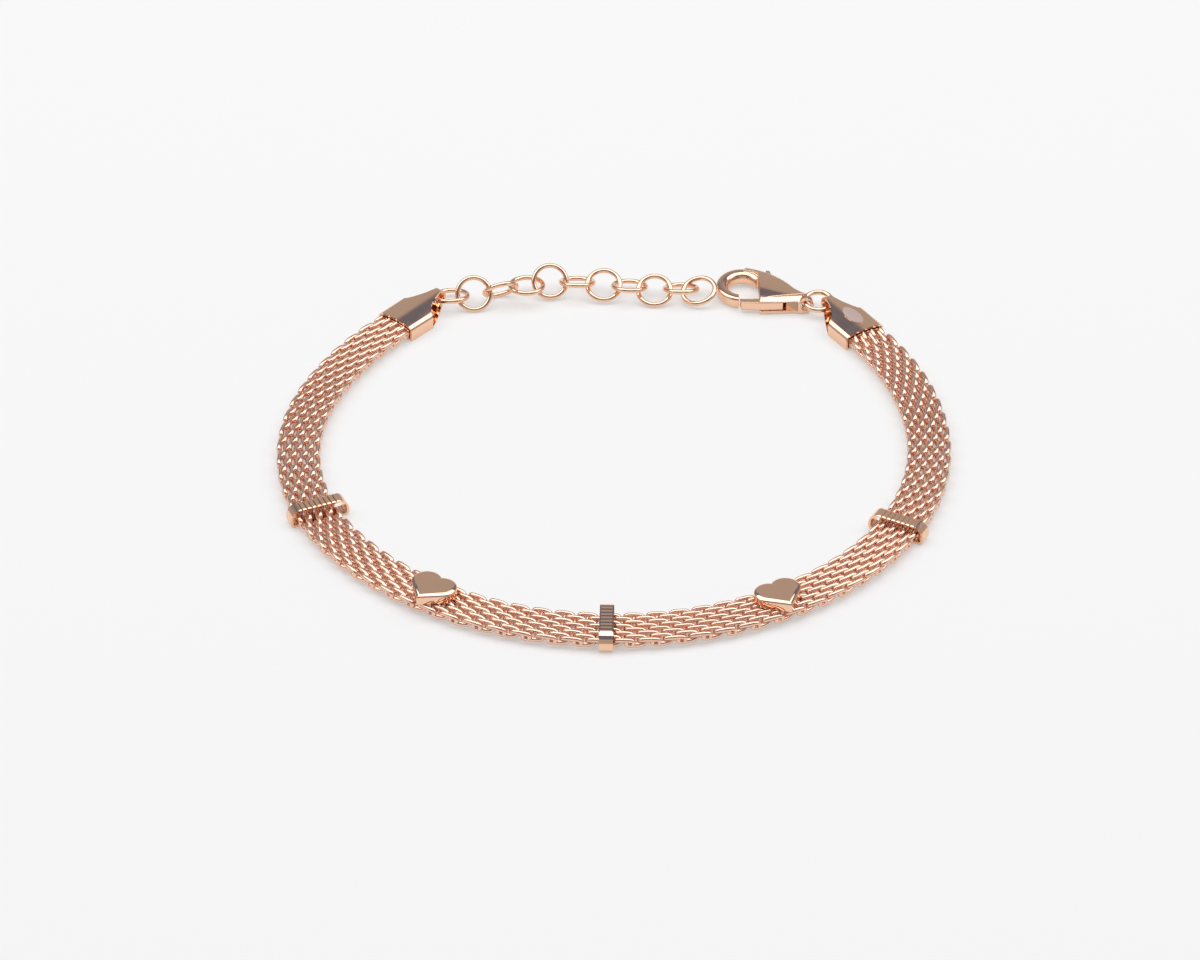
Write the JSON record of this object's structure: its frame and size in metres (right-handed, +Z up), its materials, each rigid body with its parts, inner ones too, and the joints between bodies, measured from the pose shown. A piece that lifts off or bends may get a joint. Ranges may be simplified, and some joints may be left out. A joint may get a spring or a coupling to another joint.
{
  "type": "mesh bracelet",
  "caption": "Slim woven wire mesh bracelet with slider rings, heart charms, end caps, an extension chain and a sprung hook clasp, laid closed.",
  "frame": {"origin": "centre of the bracelet's box, on the surface it rests on", "axes": "+X to the right, the longest extent; +Y to the back, where the clasp is; +Z up, the shortest extent"},
  "size_m": [0.0708, 0.0662, 0.0034],
  "materials": {
    "woven_wire": "rose-gold plated wire, bright",
    "slider_metal": "rose-gold plated sheet, polished",
    "heart_metal": "rose-gold plated, mirror polished",
    "cap_metal": "rose-gold plated sheet, polished",
    "ring_metal": "rose-gold plated wire, polished",
    "clasp_metal": "rose-gold plated casting, polished"
  },
  "bodies": {
    "bracelet": {"mesh_band": "woven_wire", "slider_left": "slider_metal", "slider_front": "slider_metal", "slider_right": "slider_metal", "heart_left": "heart_metal", "heart_right": "heart_metal", "end_cap_left": "cap_metal", "end_cap_right": "cap_metal", "chain_link_01": "ring_metal", "chain_link_02": "ring_metal", "chain_link_03": "ring_metal", "chain_link_04": "ring_metal", "chain_link_05": "ring_metal", "chain_link_06": "ring_metal", "chain_link_07": "ring_metal", "chain_link_08": "ring_metal", "chain_link_09": "ring_metal", "chain_link_10": "ring_metal", "chain_link_11": "ring_metal", "jump_ring": "ring_metal", "clasp_body": "clasp_metal"},
    "lever": {"clasp_lever": "clasp_metal"}
  },
  "joints": [
    {"name": "lever_hinge", "type": "hinge", "parent": "bracelet", "child": "lever", "pos_m": [0.01819, 0.02775, 0.001], "axis": [0, 0, -1], "range_deg": [0, 25], "stiffness_Nm_per_rad": 0.0004, "springref_deg": -17.19}
  ]
}
